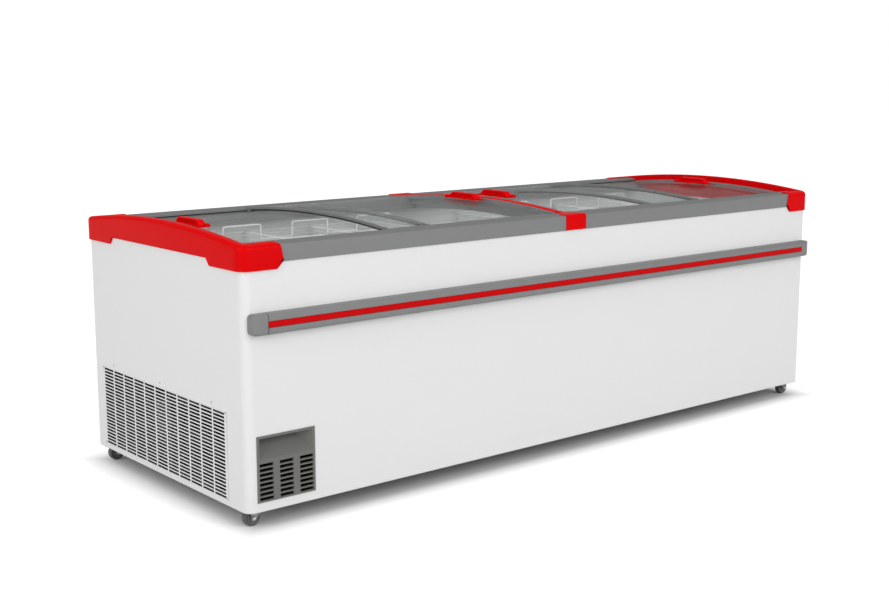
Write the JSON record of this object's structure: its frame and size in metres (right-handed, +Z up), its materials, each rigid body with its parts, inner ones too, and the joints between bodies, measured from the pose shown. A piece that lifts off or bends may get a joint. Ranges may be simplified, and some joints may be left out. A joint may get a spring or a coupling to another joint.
{
  "type": "chest freezer",
  "caption": "Long chest freezer with curved sliding glass lids over divided bays, wire baskets, a front bumper, a side grille and swivel casters.",
  "frame": {"origin": "on the floor under the middle of the overall box", "axes": "+X along the front towards the right end, +Y from the front to the back, +Z up"},
  "size_m": [2.512, 0.976, 0.8355],
  "materials": {
    "white_paint": "satin",
    "base_steel": "satin",
    "foam": "matte",
    "liner": "satin",
    "copper": "satin",
    "grey_plastic": "satin",
    "red_plastic": "gloss",
    "lid_glass": "polished",
    "vent_plastic": "matte",
    "black_paint": "satin",
    "fin_aluminium": "satin",
    "black_plastic": "satin",
    "fan_aluminium": "satin",
    "gland_rubber": "matte",
    "white_wire": "satin",
    "caster_steel": "satin",
    "caster_tyre": "matte"
  },
  "bodies": {
    "cabinet": {"base_pan": "base_steel", "basket_1": "white_wire", "basket_2": "white_wire", "basket_3": "white_wire", "basket_4": "white_wire", "basket_5": "white_wire", "basket_6": "white_wire", "bumper_end_left": "grey_plastic", "bumper_end_right": "grey_plastic", "bumper_rail": "grey_plastic", "bumper_strip": "red_plastic", "caster_front_left_plate": "caster_steel", "caster_front_right_plate": "caster_steel", "caster_rear_left_plate": "caster_steel", "caster_rear_right_plate": "caster_steel", "compressor": "black_paint", "condenser": "fin_aluminium", "cord_gland": "gland_rubber", "discharge_tube": "copper", "divider_beam": "grey_plastic", "divider_cover": "red_plastic", "divider_front_cap": "red_plastic", "divider_rear_cap": "red_plastic", "evaporator_coil": "copper", "fan_motor": "black_plastic", "fan_shroud": "black_plastic", "filter_drier": "copper", "foam_insulation": "foam", "front_rail": "grey_plastic", "front_vent": "vent_plastic", "inner_liner": "liner", "left_end_cap": "red_plastic", "outer_shell": "white_paint", "rear_rail": "grey_plastic", "right_end_cap": "red_plastic", "side_grille": "white_paint", "thermostat": "black_plastic"},
    "lid_1": {"lid_1_frame": "grey_plastic", "lid_1_glass": "lid_glass", "lid_1_handle": "red_plastic"},
    "lid_2": {"lid_2_frame": "grey_plastic", "lid_2_glass": "lid_glass", "lid_2_handle": "red_plastic"},
    "lid_3": {"lid_3_frame": "grey_plastic", "lid_3_glass": "lid_glass", "lid_3_handle": "red_plastic"},
    "lid_4": {"lid_4_frame": "grey_plastic", "lid_4_glass": "lid_glass", "lid_4_handle": "red_plastic"},
    "fan": {"fan_blade": "fan_aluminium"},
    "caster_front_left_swivel": {"caster_front_left_fork": "caster_steel"},
    "caster_front_left_roller": {"caster_front_left_wheel": "caster_tyre"},
    "caster_front_right_swivel": {"caster_front_right_fork": "caster_steel"},
    "caster_front_right_roller": {"caster_front_right_wheel": "caster_tyre"},
    "caster_rear_left_swivel": {"caster_rear_left_fork": "caster_steel"},
    "caster_rear_left_roller": {"caster_rear_left_wheel": "caster_tyre"},
    "caster_rear_right_swivel": {"caster_rear_right_fork": "caster_steel"},
    "caster_rear_right_roller": {"caster_rear_right_wheel": "caster_tyre"}
  },
  "joints": [
    {"name": "lid_1_slide", "type": "slide", "parent": "cabinet", "child": "lid_1", "axis": [1, 0, 0], "range_m": [0, 0.4]},
    {"name": "lid_2_slide", "type": "slide", "parent": "cabinet", "child": "lid_2", "axis": [1, 0, 0], "range_m": [-0.4, 0]},
    {"name": "lid_3_slide", "type": "slide", "parent": "cabinet", "child": "lid_3", "axis": [1, 0, 0], "range_m": [0, 0.4]},
    {"name": "lid_4_slide", "type": "slide", "parent": "cabinet", "child": "lid_4", "axis": [1, 0, 0], "range_m": [-0.4, 0]},
    {"name": "fan_spin", "type": "hinge", "parent": "cabinet", "child": "fan", "pos_m": [-1.1677, -0.171, 0.1943], "axis": [1, 0, 0], "continuous": true},
    {"name": "caster_front_left_turn", "type": "hinge", "parent": "cabinet", "child": "caster_front_left_swivel", "pos_m": [-1.192, -0.404, 0.056], "axis": [0, 0, 1], "continuous": true},
    {"name": "caster_front_left_roll", "type": "hinge", "parent": "caster_front_left_swivel", "child": "caster_front_left_roller", "pos_m": [-1.21, -0.404, 0.025], "axis": [0, 1, 0], "continuous": true},
    {"name": "caster_front_right_turn", "type": "hinge", "parent": "cabinet", "child": "caster_front_right_swivel", "pos_m": [1.192, -0.404, 0.056], "axis": [0, 0, 1], "continuous": true},
    {"name": "caster_front_right_roll", "type": "hinge", "parent": "caster_front_right_swivel", "child": "caster_front_right_roller", "pos_m": [1.21, -0.404, 0.025], "axis": [0, 1, 0], "continuous": true},
    {"name": "caster_rear_left_turn", "type": "hinge", "parent": "cabinet", "child": "caster_rear_left_swivel", "pos_m": [-1.192, 0.43, 0.056], "axis": [0, 0, 1], "continuous": true},
    {"name": "caster_rear_left_roll", "type": "hinge", "parent": "caster_rear_left_swivel", "child": "caster_rear_left_roller", "pos_m": [-1.21, 0.43, 0.025], "axis": [0, 1, 0], "continuous": true},
    {"name": "caster_rear_right_turn", "type": "hinge", "parent": "cabinet", "child": "caster_rear_right_swivel", "pos_m": [1.192, 0.43, 0.056], "axis": [0, 0, 1], "continuous": true},
    {"name": "caster_rear_right_roll", "type": "hinge", "parent": "caster_rear_right_swivel", "child": "caster_rear_right_roller", "pos_m": [1.21, 0.43, 0.025], "axis": [0, 1, 0], "continuous": true}
  ]
}
